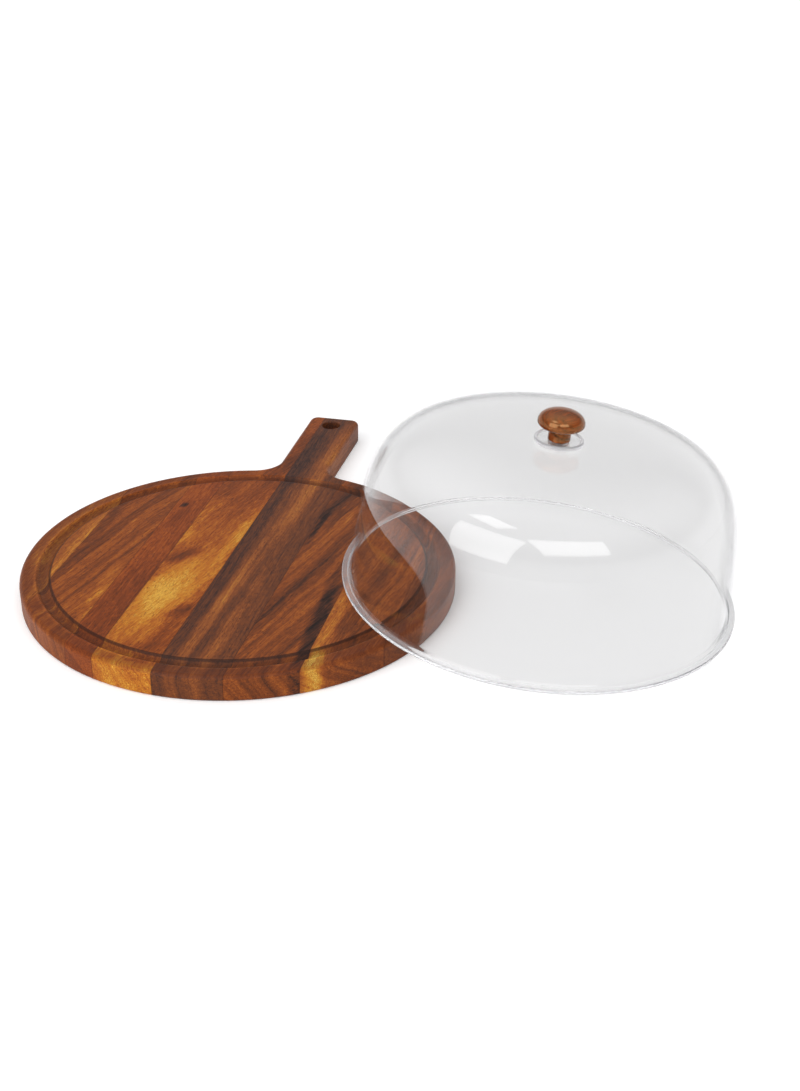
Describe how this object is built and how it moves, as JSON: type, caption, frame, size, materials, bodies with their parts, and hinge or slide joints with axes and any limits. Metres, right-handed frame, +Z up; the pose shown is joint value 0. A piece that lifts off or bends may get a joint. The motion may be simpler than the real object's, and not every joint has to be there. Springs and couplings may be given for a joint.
{
  "type": "cheese dome",
  "caption": "Clear dome with a turned wooden knob, leaning on a round wooden paddle board with a ring groove and a hang hole.",
  "frame": {"origin": "centre of the board's round part, on its underside", "axes": "+Y along the board's handle, +Z up, +X towards the side where the dome leans"},
  "size_m": [0.4972, 0.4165, 0.1431],
  "materials": {
    "acacia_1": "satin oiled acacia",
    "acacia_2": "satin oiled acacia",
    "acacia_3": "satin oiled acacia",
    "acacia_4": "satin oiled acacia",
    "acacia_5": "satin oiled acacia",
    "acacia_6": "satin oiled acacia",
    "acacia_7": "satin oiled acacia",
    "acacia_8": "satin oiled acacia",
    "clear_acrylic": "polished clear acrylic",
    "clear_ring": "polished clear acrylic",
    "knob_wood": "lacquered turned acacia",
    "insert_brass": "machined",
    "screw_steel": "bright",
    "washer_steel": "bright",
    "pad_plastic": "soft clear plastic"
  },
  "bodies": {
    "board": {"board_stave_1": "acacia_1", "board_stave_2": "acacia_2", "board_stave_3": "acacia_3", "board_stave_4": "acacia_4", "board_stave_5": "acacia_5", "board_stave_6": "acacia_6", "board_stave_7": "acacia_7", "board_stave_8": "acacia_8"},
    "dome": {"dome_shell": "clear_acrylic", "knob_ring": "clear_ring", "knob": "knob_wood", "threaded_insert": "insert_brass", "knob_screw": "screw_steel", "screw_washer": "washer_steel", "inner_pad": "pad_plastic"}
  },
  "joints": [
    {"name": "dome_lift", "type": "slide", "parent": "board", "child": "dome", "axis": [0, 0, 1], "range_m": [0, 0.18]}
  ]
}
